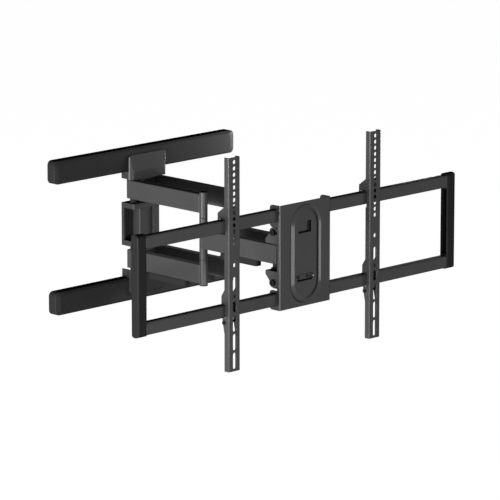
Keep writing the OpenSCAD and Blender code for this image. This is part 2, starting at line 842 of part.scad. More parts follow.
module head_rod_nuts() {
    color(bolt_black) for (i = [-1, 1]) upright_nut(
        i * pivot_x, -head_y, rod_nut_r, rod_r + fixed_fit, -head_rod_top - rod_nut_h, -head_rod_top
    );
}

tilt_head_x = yoke_half_w + slide_gap + tilt_washer_t;
// Left tilt bolt at the upper level: a round head with a six-sided socket
module tilt_bolt() {
    socket_r = 2.9;
    socket_d = 2.5;
    tail_x = lug_x - steel_t - slide_gap - tilt_nut_t - 1;
    difference() {
        union() {
            crosswise(-tilt_y, tilt_bolt_z, tilt_bolt_r, -tilt_head_x, -tail_x);
            crosswise(-tilt_y, tilt_bolt_z, tilt_head_r, -tilt_head_x - tilt_head_t, -tilt_head_x);
        }
        translate([-tilt_head_x - tilt_head_t - 1, -tilt_y, tilt_bolt_z]) rotate([0, 90, 0])
            cylinder(r = socket_r, h = socket_d + 1, $fn = 6);
    }
}

// Both tilt bolts of one level: 1 is upper and -1 is lower
module tilt_bolts(level) {
    color(bolt_black) for (i = [-1, 1]) scale([i, 1, level]) tilt_bolt();
}

module tilt_washers(level) {
    washer_lip = 0.7;
    x0 = yoke_half_w + slide_gap;
    color(bolt_black) for (i = [-1, 1]) scale([i, 1, level]) difference() {
        crosswise(-tilt_y, tilt_bolt_z, tilt_head_r + washer_lip, x0, x0 + tilt_washer_t);
        crosswise(-tilt_y, tilt_bolt_z, tilt_bolt_r + fixed_fit, x0 - 1, x0 + tilt_washer_t + 1);
    }
}

module tilt_nuts(level) {
    x1 = lug_x - steel_t - slide_gap;
    color(bolt_black) for (i = [-1, 1]) scale([i, 1, level]) difference() {
        translate([x1 - tilt_nut_t, -tilt_y, tilt_bolt_z]) rotate([0, 90, 0])
            cylinder(r = tilt_nut_r, h = tilt_nut_t, $fn = 6);
        crosswise(-tilt_y, tilt_bolt_z, tilt_bolt_r + fixed_fit, x1 - tilt_nut_t - 1, x1 + 1);
    }
}

// Side view of a tilt lug that joins the web. The upper lugs hold the upper tilt
// bolts; the lower lugs carry the slots that slide over the lower bolts.
module lug_side(level) {
    low = tilt_bolt_z - lug_half_h;
    high = tilt_bolt_z + lug_half_h;
    back = -tilt_y + lug_back;
    difference() {
        translate([-web_front_y, low]) square([back + web_front_y, high - low]);
        if (level > 0) translate([-tilt_y, tilt_bolt_z]) circle(tilt_bolt_r + fixed_fit);
        else translate([-tilt_y, 0])
            arc_slot(tilt_bolt_z, tilt_bolt_r + slide_gap, 90 - tilt_up, 90 + tilt_down);
        translate([back, high]) rotate(45) square(lug_chamfer, center = true);
        translate([back, low]) rotate(45) square(lug_chamfer, center = true);
    }
}

// Slot of half width w that follows a circle of radius r from angle a0 to a1
module arc_slot(r, w, a0, a1) {
    reach = 2 * r;
    lap = 0.05;
    for (a = [a0, a1]) rotate(a) translate([r, 0]) circle(w);
    intersection() {
        difference() {
            circle(r + w - lap);
            circle(r - w + lap);
        }
        polygon([[0, 0], reach * [cos(a0), sin(a0)], reach * [cos(a1), sin(a1)]]);
    }
}

window_half_w = 19;
window_h = 23.8;
window_drop = 5.3;
window_high_z = rail_up_low_z - window_drop;
window_x = -0.9;
web_top_gap = 0.7;
level_screw_x = [-14.6, 12];
level_screw_z = -45.2;

module tilt_bracket() {
    web_half_h = tilt_bolt_z + lug_half_h;
    color(steel_black) difference() {
        union() {
            for (i = [-1, 1], level = [-1, 1])
                translate([i * (lug_x - steel_t / 2), 0, 0])
                    on_level(level) along_x(steel_t) lug_side(level);
            block(
                [-lug_x, -web_front_y, -web_half_h],
                [lug_x, -web_back_y, window_high_z + web_top_gap]
            );
        }
        for (i = [-1, 1]) scale([i, 1, 1]) block(
            [lug_x - steel_t - lug_relief_w, -web_front_y - 1, lug_relief_inset - web_half_h],
            [lug_x - steel_t, -web_back_y + 1, -tilt_bolt_z + lug_half_h - lug_relief_inset]
        );
        lengthwise(0, level_z, level_r + run_fit, web_back_y - 1, web_front_y + 1);
        along_y(web_back_y - 1, web_front_y + 1) for (x = level_screw_x) level_slot(x);
    }
}

// Slot for one level screw, along its path about the level pivot
module level_slot(x) {
    dz = level_screw_z - level_z;
    travel = 2 * sqrt(x * x + dz * dz) * sin(level_turn);
    w = 2 * (level_screw_r + slide_gap + slide_gap);
    translate([x, level_screw_z]) rotate(atan2(dz, x)) slot_2d(w, travel + w);
}

// Pivot that the panel levels on: its collar keeps the plate off the tilt bracket
module level_pivot() {
    flange_t = 2;
    flange_lip = 3;
    collar_lip = 5;
    tail = web_back_y - slide_gap - flange_t;
    color(steel_black) {
        lengthwise(0, level_z, level_r, tail, plate_face_y - slide_gap);
        lengthwise(0, level_z, level_r + flange_lip, tail, web_back_y - slide_gap);
        lengthwise(0, level_z, level_r + collar_lip, web_front_y + slide_gap, plate_back_y);
    }
}

// Screws that lock the level, with a socket in each head
module level_screws() {
    tail = web_back_y - level_screw_tail;
    head = tray_floor_y + tray_wall + level_head_t;
    socket_r = 1.4;
    color(bolt_black) for (x = level_screw_x) difference() {
        union() {
            lengthwise(x, level_screw_z, level_screw_r, tail, tray_floor_y + tray_wall);
            lengthwise(x, level_screw_z, level_head_r, tray_floor_y + tray_wall, head);
        }
        translate([x, -head + level_head_t / 2, level_screw_z]) rotate([90, 0, 0])
            cylinder(r = socket_r, h = level_head_t, $fn = 6);
    }
}

// ---------- centre plate ----------

ring_x = 0.8;
ring_z = frame_rise - 0.1;
ring_back_t = 1.6;

// Ring that is as deep as the pressing, from a cross-section in x and depth
module ring_sweep(section) {
    mid = ring_h - 2 * ring_half_w;
    translate([ring_x, -plate_face_y, ring_z]) {
        for (j = [-1, 1]) scale([1, 1, j]) translate([0, 0, mid / 2]) rotate([90, 0, 0])
            rotate_extrude(angle = 180) polygon(section);
        for (i = [-1, 1]) scale([i, 1, 1])
            linear_extrude(mid, center = true) polygon([for (p = section) [p[0], -p[1]]]);
    }
}

// Groove of the pressed ring: steep outside, a long slope up to the inner panel
module ring_groove() {
    lip = ring_half_w;
    ring_sweep([
        [lip, 1], [lip, 0], [lip - 0.16 * ring_w, -0.75 * ring_d], [lip - 0.28 * ring_w, -ring_d],
        [lip - 0.44 * ring_w, -0.92 * ring_d], [lip - 0.72 * ring_w, -0.45 * ring_d],
        [lip - ring_w, 0], [lip - ring_w, 1]
    ]);
}

// Bulge of the pressed ring on the back of the plate
module ring_bulge() {
    lip = ring_half_w + ring_back_t;
    back = -plate_t - ring_back_t;
    ring_sweep([
        [lip, -plate_t / 2], [lip - ring_back_t, back],
        [lip - 0.75 * ring_w, back], [lip - ring_w, -plate_t / 2]
    ]);
}

// Side view of the centre plate's flange: two round-cornered ears with closed holes
// for the frame rails, joined by a shallow rim
module flange_side() {
    face = -plate_face_y;
    half_h = plate_h / 2;
    ear_high = half_h - plate_notch_half_h + frame_rise;
    ear_low = half_h - plate_notch_half_h - frame_rise;
    mid_y = face + plate_flange_d / 2;
    difference() {
        union() {
            translate([mid_y, plate_notch_half_h + ear_high / 2])
                round_rect(plate_flange_d, ear_high, flange_corner_r);
            translate([mid_y, -plate_notch_half_h - ear_low / 2])
                round_rect(plate_flange_d, ear_low, flange_corner_r);
            translate([face, frame_rise - half_h]) square([plate_rim_d, plate_h]);
        }
        for (j = [-1, 1]) translate([-(frame_face_y + frame_back_y) / 2, frame_rise + j * frame_rail_z])
            round_rect(frame_rail_d + 2 * fixed_fit, frame_rail_h + 2 * fixed_fit, frame_rail_r);
    }
}

flange_corner_r = 6.6;

// Stadium that lies along X and widens towards the plate's face
module tray_form(y0, y1, low_r, high_r) {
    half = tray_half_w - tray_half_h;
    translate([0, -y0, level_screw_z]) {
        for (i = [-1, 1]) translate([i * half, 0, 0]) rotate([90, 0, 0])
            cylinder(r1 = low_r, r2 = high_r, h = y1 - y0);
        along_x(2 * half) polygon([[0, -low_r], [y0 - y1, -high_r], [y0 - y1, high_r], [0, low_r]]);
    }
}

module centre_plate() {
    corner_r = 2.5;
    window_r = 1.5;
    color(steel_black) difference() {
        union() {
            intersection() {
                along_z(frame_rise - plate_h / 2, frame_rise + plate_h / 2)
                    translate([0, -plate_face_y + plate_flange_d])
                        pivot_cover_plan(plate_half_w, plate_flange_d, plate_bend_r);
                union() {
                    along_y(plate_back_y, plate_face_y)
                        translate([0, frame_rise]) round_rect(2 * plate_half_w, plate_h, corner_r);
                    for (i = [-1, 1]) translate([i * (plate_half_w - plate_t / 2), 0, 0])
                        along_x(plate_t) flange_side();
                }
            }
            ring_bulge();
            tray_form(
                tray_floor_y, plate_face_y - 1,
                tray_half_h - tray_slope + tray_wall, tray_half_h + tray_wall
            );
        }
        tray_form(tray_floor_y + tray_wall, plate_face_y, tray_half_h - tray_slope, tray_half_h);
        for (x = level_screw_x)
            lengthwise(x, level_screw_z, level_screw_r + fixed_fit, tray_floor_y - 1, plate_face_y);
        lengthwise(0, level_z, level_r + fixed_fit, plate_back_y - 1, plate_face_y + 1);
        along_y(plate_back_y - ring_back_t - 1, plate_face_y + 1)
            translate([window_x, window_high_z - window_h / 2])
                round_rect(2 * window_half_w, window_h, window_r);
        ring_groove();
    }
}

// ---------- screen frame ----------

module frame_rail() {
    half_l = frame_w / 2 - post_w - slide_gap / 2;
    z = frame_rise + frame_rail_z;
    y = -(frame_face_y + frame_back_y) / 2;
    color(tube_grey) difference() {
        translate([0, y, z]) along_x(2 * half_l) round_rect(frame_rail_d, frame_rail_h, frame_rail_r);
        translate([0, y, z]) along_x(2 * half_l + 2) round_rect(
            frame_rail_d - 2 * frame_rail_wall, frame_rail_h - 2 * frame_rail_wall,
            frame_rail_r - frame_rail_wall
        );
        for (i = [-1, 1]) lengthwise(
            i * rail_clamp_x, z, lock_screw_r + fixed_fit, frame_back_y - 1, frame_face_y + 1
        );
    }
}

module frame_rail_lower() {
    translate([0, 0, -2 * frame_rail_z]) frame_rail();
}

post_proud = 1.2;
post_back_proud = 1.8;
post_side_r = 8;
post_edge_r = 2.6;
post_wall = 2.4;
post_hollow_r = 1.2;
// Hollow of the left end post: a channel between the rails, open towards the other post
module post_hollow(depth) {
    hollow_h = 2 * frame_rail_z - frame_rail_h - 2 * post_wall;
    translate([post_wall, 0, -post_rise])
        along_x(post_w) round_rect(depth - 2 * post_wall, hollow_h, post_hollow_r);
}

spigot_l = 14;
// Left end post: it stands across the rails' ends, with a spigot into each rail
module frame_post() {
    rail_mid_y = -(frame_face_y + frame_back_y) / 2;
    depth = frame_rail_d + post_proud + post_back_proud;
    spigot_w = frame_rail_d - 2 * frame_rail_wall - 2 * fixed_fit;
    spigot_h = frame_rail_h - 2 * frame_rail_wall - 2 * fixed_fit;
    color(plastic_black) {
        translate([
            -frame_w / 2 + post_w / 2, rail_mid_y + (post_back_proud - post_proud) / 2,
            frame_rise + post_rise
        ]) difference() {
            intersection() {
                along_x(post_w) round_rect(depth, post_h, post_side_r);
                linear_extrude(post_h, center = true) round_rect(post_w, depth, post_edge_r);
            }
            post_hollow(depth);
        }
        for (j = [-1, 1]) translate([
            -frame_w / 2 + post_w + spigot_l / 2 - 1, rail_mid_y, frame_rise + j * frame_rail_z
        ]) along_x(spigot_l + 2) round_rect(spigot_w, spigot_h, frame_rail_r - frame_rail_wall);
    }
}

rail_clamp_x = 52;
// Screws that hold the centre plate's web to the rails, driven from behind
module rail_clamp_screws() {
    head_r = 4.8;
    head_t = 2.4;
    color(bolt_black) for (i = [-1, 1], j = [-1, 1])
        translate([i * rail_clamp_x, 0, frame_rise + j * frame_rail_z]) {
            lengthwise(0, 0, lock_screw_r, frame_back_y, plate_back_y);
            lengthwise(0, 0, head_r, frame_back_y - head_t, frame_back_y);
            difference() {
                lengthwise(0, 0, head_r, frame_face_y + fixed_fit, plate_back_y);
                lengthwise(0, 0, lock_screw_r, frame_face_y - 1, plate_back_y + 1);
            }
        }
}

// ---------- screen brackets ----------

// Side view of a screen bracket's flange: hooks over the upper rail, ears at the lower one
module bracket_side() {
    face = -bracket_face_y;
    back = face + bracket_d;
    hook_back = -frame_back_y + hook_t;
    seat = -frame_face_y - hook_gap;
    g = hook_gap;
    difference() {
        polygon([
            [face, bracket_low_z], [back, bracket_low_z],
            [back, rail_low_z - low_ear_h], [back + low_ear_d, rail_low_z - low_ear_step],
            [back + low_ear_d, rail_low_z - g], [seat, rail_low_z - g],
            [seat, rail_low_top_z + g], [back + mid_ear_d, rail_low_top_z + g],
            [back + mid_ear_d, rail_low_top_z + mid_ear_h],
            [back, rail_low_top_z + mid_ear_h + mid_ear_slope],
            [back, rail_up_low_z - 2 * seat_step], [seat, rail_up_low_z - seat_step],
            [seat, rail_top_z + g], [-frame_back_y + g, rail_top_z + g],
            [-frame_back_y + g, rail_top_z - hook_drop], [hook_back, rail_top_z - hook_drop],
            [hook_back, rail_top_z + hook_rise], [back, rail_top_z + hook_slope],
            [back, bracket_low_z + bracket_l], [face, bracket_low_z + bracket_l]
        ]);
        translate([lock_y, rail_low_z - lock_drop]) circle(lock_screw_r + fixed_fit);
    }
}

lock_y = -bracket_face_y + bracket_d + hook_gap;

// Holes and slots up the face of a screen bracket
module bracket_holes_2d() {
    translate([0, bracket_low_z]) {
        for (k = [0 : screen_holes - 1])
            translate([0, top_hole_z - k * screen_hole_pitch]) circle(screen_hole_r);
        for (k = [0 : 2]) translate([0, big_slot_z + k * big_slot_pitch])
            slot_2d(2 * screen_hole_r, big_slot_l);
        translate([0, mid_slot_z]) slot_2d(2 * screen_hole_r, mid_slot_l);
        translate([0, upper_slot_z]) slot_2d(2 * screen_hole_r, upper_slot_l);
        translate([0, lone_hole_z]) circle(screen_hole_r);
        translate([0, low_hole_z]) circle(screen_hole_r);
    }
}

module screen_bracket(x) {
    half_w = bracket_w / 2;
    deep = 3 * bracket_d;
    bend = bracket_t + hook_gap;
    corner_r = 1.6;
    color(steel_black) translate([x, 0, 0]) difference() {
        intersection() {
            along_z(bracket_low_z, bracket_low_z + bracket_l)
                translate([0, -bracket_face_y + deep]) pivot_cover_plan(half_w, deep, bend);
            union() {
                along_y(bracket_face_y - bracket_t, bracket_face_y)
                    translate([0, bracket_rise]) round_rect(bracket_w, bracket_l, corner_r);
                for (i = [-1, 1]) translate([i * (half_w - bracket_t / 2), 0, 0])
                    along_x(bracket_t) bracket_side();
            }
        }
        along_y(bracket_face_y - bracket_t - 1, bracket_face_y + 1) bracket_holes_2d();
    }
}

// Screw across a screen bracket, below the lower rail, that stops it lifting off
module lock_screw(x) {
    z = rail_low_z - lock_drop;
    half_w = bracket_w / 2;
    color(bolt_black) translate([x, 0, 0]) difference() {
        union() {
            crosswise(lock_y, z, lock_screw_r, -half_w, half_w + lock_head_t + lock_tail);
            crosswise(lock_y, z, lock_head_r, -half_w - lock_head_t, -half_w);
        }
        translate([-half_w - lock_head_t - 1, lock_y, z]) rotate([0, 90, 0])
            cylinder(r = lock_socket_r, h = lock_head_t, $fn = 6);
    }
}

module lock_nut(x) {
    z = rail_low_z - lock_drop;
    half_w = bracket_w / 2;
    color(bolt_black) translate([x, 0, 0]) difference() {
        translate([half_w, lock_y, z]) rotate([0, 90, 0])
            cylinder(r = lock_nut_r, h = lock_head_t, $fn = 6);
        crosswise(lock_y, z, lock_screw_r + fixed_fit, half_w - 1, half_w + lock_head_t + 1);
    }
}

// ---------- nodes ----------

wall_rail();  // wall_rail_upper
mirror_z() wall_rail();  // wall_rail_lower
rail_cover();  // rail_cover_upper
mirror_z() rail_cover();  // rail_cover_lower
pivot_cover();  // pivot_cover_upper
mirror_z() pivot_cover();  // pivot_cover_lower
spine();
pivot_bracket();  // pivot_bracket_upper
pivot_bracket_middle();
mirror_z() pivot_bracket();  // pivot_bracket_lower
brace_rear();
brace_front();
wall_pivot_bolts();
wall_bushings();
wall_bolt_nuts();
rear_arm();  // rear_arm_upper_left
mirror_z() rear_arm();  // rear_arm_lower_left
mirror_x() rear_arm();  // rear_arm_upper_right
mirror_x() mirror_z() rear_arm();  // rear_arm_lower_right
front_arm(run_fit);  // front_arm_left
mirror_x() front_arm(open_fit);  // front_arm_right
elbow_rod();  // elbow_rod_left
mirror_x() elbow_rod();  // elbow_rod_right
elbow_washers();  // elbow_washers_left
mirror_x() elbow_washers();  // elbow_washers_right
elbow_caps();  // elbow_caps_left
mirror_x() elbow_caps();  // elbow_caps_right
cable_cover_rear();  // cable_cover_rear_left
mirror_x() cable_cover_rear();  // cable_cover_rear_right
cable_cover_front();  // cable_cover_front_left
mirror_x() cable_cover_front();  // cable_cover_front_right
yoke(1);  // yoke_upper
mirror_z() yoke(-1);  // yoke_lower
head_rods();
head_bushings();
head_rod_nuts();
tilt_bolts(1);  // tilt_bolts_upper
tilt_bolts(-1);  // tilt_bolts_lower
tilt_washers(1);  // tilt_washers_upper
tilt_washers(-1);  // tilt_washers_lower
tilt_nuts(1);  // tilt_nuts_upper
tilt_nuts(-1);  // tilt_nuts_lower
tilt_bracket();
level_pivot();
level_screws();
centre_plate();
frame_rail();  // frame_rail_upper
frame_rail_lower();
frame_post();  // frame_post_left
mirror_x() frame_post();  // frame_post_right
rail_clamp_screws();
screen_bracket(-bracket_pitch / 2);  // screen_bracket_left
screen_bracket(bracket_pitch / 2);  // screen_bracket_right
lock_screw(-bracket_pitch / 2);  // lock_screw_left
lock_screw(bracket_pitch / 2);  // lock_screw_right
lock_nut(-bracket_pitch / 2);  // lock_nuts_left
lock_nut(bracket_pitch / 2);  // lock_nuts_right
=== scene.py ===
"""Full-motion wall mount for a flat screen: its finishes, the studio and the camera.

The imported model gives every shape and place. This script dresses each sub-assembly
in its own powder coat, moulded plastic or blackened steel, then sets the studio.
"""

from __future__ import annotations

import logging
import math
from dataclasses import dataclass, field
from enum import Enum
from typing import Iterator

import bpy
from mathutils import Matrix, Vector


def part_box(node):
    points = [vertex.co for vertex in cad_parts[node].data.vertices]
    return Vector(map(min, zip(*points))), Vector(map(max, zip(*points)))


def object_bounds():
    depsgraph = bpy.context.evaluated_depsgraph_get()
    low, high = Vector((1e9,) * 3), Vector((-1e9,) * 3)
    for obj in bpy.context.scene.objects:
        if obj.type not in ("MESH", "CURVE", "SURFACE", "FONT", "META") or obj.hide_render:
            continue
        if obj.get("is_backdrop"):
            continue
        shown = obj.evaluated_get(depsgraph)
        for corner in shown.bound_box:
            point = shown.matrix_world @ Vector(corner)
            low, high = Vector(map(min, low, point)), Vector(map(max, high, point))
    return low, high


LOG = logging.getLogger("wall_mount")

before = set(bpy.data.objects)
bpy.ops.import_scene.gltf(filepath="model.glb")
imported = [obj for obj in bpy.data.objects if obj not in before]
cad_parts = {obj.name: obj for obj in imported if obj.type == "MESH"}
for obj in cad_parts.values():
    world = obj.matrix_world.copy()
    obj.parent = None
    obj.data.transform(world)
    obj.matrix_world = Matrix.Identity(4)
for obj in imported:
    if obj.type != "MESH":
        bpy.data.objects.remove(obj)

Socket = bpy.types.NodeSocket
Span = tuple[float, float]
WHITE = (1.0, 1.0, 1.0, 1.0)
BLACK = (0.0, 0.0, 0.0, 1.0)


# ---------- node graphs ----------


class Graph:
    """A thin wrapper that adds and links the nodes of one material or world."""

    def __init__(self, tree: bpy.types.NodeTree) -> None:
        """Start from an empty tree.

        Args:
            tree: The node tree that this graph fills.
        """
        self.tree = tree
        tree.nodes.clear()

    def add(self, kind: str, **inputs: object) -> bpy.types.Node:
        """Add a node and set its unlinked inputs.

        Args:
            kind: Blender's identifier of the node type.
            **inputs: Values by input name, with underscores for spaces.

        Returns:
            The new node.
        """
        node = self.tree.nodes.new(kind)
        for name, value in inputs.items():
            node.inputs[name.replace("_", " ")].default_value = value
        return node

    def link(self, source: Socket, target: Socket) -> None:
        """Link one socket to another."""
        self.tree.links.new(source, target)

    def calc(self, operation: str, *values: Socket | float) -> Socket:
        """Add a math node fed by sockets or plain numbers.

        Args:
            operation: Name of the operation, such as MULTIPLY.
            *values: Up to three sockets or numbers.

        Returns:
            The node's output socket.
        """
        node = self.tree.nodes.new("ShaderNodeMath")
        node.operation = operation
        for place, value in enumerate(values):
            if isinstance(value, Socket):
                self.link(value, node.inputs[place])
            else:
                node.inputs[place].default_value = value
        return node.outputs[0]

    def ramp(self, source: Socket, span: Span, result: Span) -> Socket:
        """Map a value from one range to another, held at both ends.

        Args:
            source: The value to map.
            span: The range that it comes from.
            result: What the two ends of that range become.

        Returns:
            The mapped value.
        """
        node = self.add(
            "ShaderNodeMapRange",
            From_Min=span[0],
            From_Max=span[1],
            To_Min=result[0],
            To_Max=result[1],
        )
        self.link(source, node.inputs["Value"])
        return node.outputs["Result"]

    def noise(self, place: Socket, scale: float, detail: float) -> Socket:
        """Add a noise texture of that many features to the metre.

        Args:
            place: Coordinates in metres.
            scale: Features to the metre.
            detail: Number of finer octaves.

        Returns:
            The noise value, about 0.5 on average.
        """
        node = self.add("ShaderNodeTexNoise", Scale=scale, Detail=detail, Roughness=NOISE_BITE)
        self.link(place, node.inputs["Vector"])
        return node.outputs["Fac"]


# ---------- finishes ----------

# How strong the finer octaves of a noise are, and the range that nearly all of it keeps to
NOISE_BITE = 0.55
NOISE_SPAN = (0.3, 0.7)

# Features to the metre of the broad noise that the tone wanders with
MOTTLE_SCALE = 9.0

# How much lighter or darker, and how much rougher or smoother, the grain makes a coat
GRAIN_TONE = 0.07
GRAIN_ROUGHNESS = 0.05

# Cosine between the softened and the true normal where an edge begins, and where it is full
EDGE_SPAN = (0.995, 0.82)

# Range of the grain that breaks the lighter edges up, which are partly wear and partly painted
# highlight, and their share at its two ends
WEAR_AND_HIGHLIGHT_SPAN = (0.35, 0.6)
WEAR_AND_HIGHLIGHT_SHARE = (0.6, 1.0)

# How much smoother a worn edge is, and the samples that soften it
EDGE_POLISH = 0.12
EDGE_SAMPLES = 6


@dataclass(frozen=True)
class Coating:
    """An opaque finish with a fine grain and softened edges, lighter there: partly light wear,
    partly a painted highlight.

    Its shine comes from the flake, whose black edge tint keeps faces that are seen at a
    low angle from mirroring the white backdrop.

    Attributes:
        name: Name of the material.
        tone: Linear grey of the finish.
        roughness: Roughness of the surface.
        flake: Share of metal flake in the coat, which mirrors where it is faced.
        grain: Grain features to the metre.
        grain_depth: Height of the grain in metres.
        mottle: How much the tone wanders over the part.
        edge_r: Radius that edges are softened to, in metres.
        edge_wear_and_highlight: How much lighter the edges are, partly as wear and partly as a
            painted highlight.
    """

    name: str
    tone: float
    roughness: float = 0.55
    flake: float = 0.0
    grain: float = 1400.0
    grain_depth: float = 0.00002
    mottle: float = 0.05
    edge_r: float = 0.0008
    # How much lighter the edges are: partly wear, partly a painted highlight
    edge_wear_and_highlight: float = 0.25

    def build(self) -> bpy.types.Material:
        """Make the material.

        Returns:
            The finished material.
        """
        material = bpy.data.materials.new(self.name)
        material.use_nodes = True
        graph = Graph(material.node_tree)
        shader = graph.add(
            "ShaderNodeBsdfPrincipled",
            Metallic=self.flake,
            Specular_IOR_Level=0.0,
            Specular_Tint=BLACK,
        )
        out = graph.add("ShaderNodeOutputMaterial")
        graph.link(shader.outputs["BSDF"], out.inputs["Surface"])
        place = graph.add("ShaderNodeTexCoord").outputs["Object"]
        grain = graph.noise(place, self.grain, detail=2.0)
        mottle = graph.noise(place, MOTTLE_SCALE, detail=3.0)
        soft = graph.add("ShaderNodeBevel", Radius=self.edge_r)
        soft.samples = EDGE_SAMPLES
        edge = self._edge(graph, soft.outputs["Normal"], grain)
        graph.link(self._colour(graph, grain, mottle, edge), shader.inputs["Base Color"])
        graph.link(self._roughness(graph, grain, edge), shader.inputs["Roughness"])
        bump = graph.add("ShaderNodeBump", Strength=1.0, Distance=self.grain_depth)
        graph.link(grain, bump.inputs["Height"])
        graph.link(soft.outputs["Normal"], bump.inputs["Normal"])
        graph.link(bump.outputs["Normal"], shader.inputs["Normal"])
        return material

    @staticmethod
    def _edge(graph: Graph, soft: Socket, grain: Socket) -> Socket:
        """Find the edges: where the softened normal leaves the true one.

        Args:
            graph: The graph to add to.
            soft: The softened normal.
            grain: The grain, which breaks the edge wear and painted highlight up.

        Returns:
            A mask that is 1 on edges.
        """
        true = graph.add("ShaderNodeNewGeometry").outputs["Normal"]
        dot = graph.add("ShaderNodeVectorMath")
        dot.operation = "DOT_PRODUCT"
        graph.link(soft, dot.inputs[0])
        graph.link(true, dot.inputs[1])
        bend = graph.ramp(dot.outputs["Value"], EDGE_SPAN, (0.0, 1.0))
        return graph.calc("MULTIPLY", bend, graph.ramp(grain, WEAR_AND_HIGHLIGHT_SPAN, WEAR_AND_HIGHLIGHT_SHARE))

    def _colour(self, graph: Graph, grain: Socket, mottle: Socket, edge: Socket) -> Socket:
        """Mix the tone with its grain, mottle and lighter edges, which are partly wear and partly
        a painted highlight.

        Args:
            graph: The graph to add to.
            grain: Fine noise.
            mottle: Broad noise.
            edge: Mask of the edges.

        Returns:
            The colour.
        """
        level = graph.calc(
            "MULTIPLY",
            graph.ramp(mottle, NOISE_SPAN, (1.0 - self.mottle, 1.0 + self.mottle)),
            graph.ramp(grain, NOISE_SPAN, (1.0 - GRAIN_TONE, 1.0 + GRAIN_TONE)),
        )
        # Lighter edges: partly edge wear, partly a painted highlight
        lift = graph.ramp(edge, (0.0, 1.0), (1.0, 1.0 + self.edge_wear_and_highlight))
        level = graph.calc("MULTIPLY", graph.calc("MULTIPLY", level, lift), self.tone)
        grey = graph.add("ShaderNodeCombineColor")
        for channel in ("Red", "Green", "Blue"):
            graph.link(level, grey.inputs[channel])
        return grey.outputs["Color"]

    def _roughness(self, graph: Graph, grain: Socket, edge: Socket) -> Socket:
        """Let the roughness follow the grain, with worn edges polished.

        Args:
            graph: The graph to add to.
            grain: Fine noise.
            edge: Mask of the edges.

        Returns:
            The roughness.
        """
        low, high = self.roughness - GRAIN_ROUGHNESS, self.roughness + GRAIN_ROUGHNESS
        return graph.calc(
            "ADD",
            graph.ramp(grain, NOISE_SPAN, (low, high)),
            graph.calc("MULTIPLY", edge, -EDGE_POLISH),
        )


class Finish(Enum):
    """The finishes of the mount."""

    # Each finish's edge lift lightens its edges: partly wear, partly a painted highlight
    STEEL = Coating("powder_coated_steel", tone=0.075, roughness=0.28, flake=0.15)
    HEAD = Coating(
        "powder_coated_head", tone=0.106, roughness=0.24, flake=0.28, edge_r=0.0014, edge_wear_and_highlight=0.5
    )
    PLATE = Coating(
        "powder_coated_plate", tone=0.08, roughness=0.2, flake=0.46, edge_r=0.001, edge_wear_and_highlight=0.5
    )
    BRACKET = Coating(
        "powder_coated_bracket", tone=0.1, roughness=0.22, flake=0.22, edge_r=0.0014, edge_wear_and_highlight=0.7
    )
    ARM = Coating(
        "powder_coated_arm", tone=0.1, roughness=0.24, flake=0.25, edge_r=0.0016, edge_wear_and_highlight=0.6
    )
    RAIL = Coating(
        "powder_coated_rail", tone=0.096, roughness=0.24, flake=0.28, edge_r=0.0016, edge_wear_and_highlight=0.7
    )
    COVER = Coating(
        "moulded_cover",
        tone=0.042,
        roughness=0.28,
        flake=0.14,
        grain=2200.0,
        edge_r=0.0016,
        edge_wear_and_highlight=1.2,
    )
    # The cover plastic in a lighter tone: painted light for the lit slope of the upper pivot cover
    PIVOT_COVER = Coating(
        "moulded_cover_painted_light",
        tone=0.07,
        roughness=0.28,
        flake=0.25,
        grain=2200.0,
        edge_r=0.0016,
        edge_wear_and_highlight=1.0,
    )
    CAP = Coating(
        "moulded_cap",
        tone=0.034,
        roughness=0.28,
        flake=0.14,
        grain=2200.0,
        edge_r=0.0014,
        edge_wear_and_highlight=1.2,
    )
    CLIP = Coating("moulded_clip", tone=0.042, roughness=0.42, grain=2200.0)
    FASTENER = Coating(
        "blackened_fastener", tone=0.035, roughness=0.3, flake=0.6, edge_r=0.0004
    )
    BUSHING = Coating("nylon_bushing", tone=0.045, roughness=0.5, edge_r=0.0005)

    def material(self) -> bpy.types.Material:
        """Return this finish's material, made once."""
        found = bpy.data.materials.get(self.value.name)
        return found or self.value.build()


# ---------- sub-assemblies ----------


@dataclass(frozen=True)
class SubAssembly:
    """Pieces of the mount that belong together.

    Attributes:
        title: What the group is.
    """

    title: str

    def finishes(self) -> dict[str, Finish]:
        """Return the finish of each piece, by the start of its name."""
        raise NotImplementedError

    def dress(self) -> int:
        """Give every piece its finish.

        Returns:
            The number of pieces dressed.
        """
        count = 0
        for prefix, finish in self.finishes().items():
            for piece in self._pieces(prefix):
                self._coat(piece, finish.material())
                count += 1
                LOG.info("%s: %s in %s", self.title, piece.name, finish.value.name)
        return count

    @staticmethod
    def _pieces(prefix: str) -> Iterator[bpy.types.Object]:
        """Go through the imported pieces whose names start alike.

        Args:
            prefix: How the names start.

        Yields:
            Each such piece, in the order of the names.
        """
        for name in sorted(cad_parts):
            if name.startswith(prefix):
                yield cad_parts[name]

    @staticmethod
    def _coat(piece: bpy.types.Object, material: bpy.types.Material) -> None:
        """Put one material in every slot of a piece.

        Args:
            piece: The piece to coat.
            material: Its material.
        """
        if not piece.material_slots:
            piece.data.materials.append(material)
        for slot in piece.material_slots:
            slot.material = material


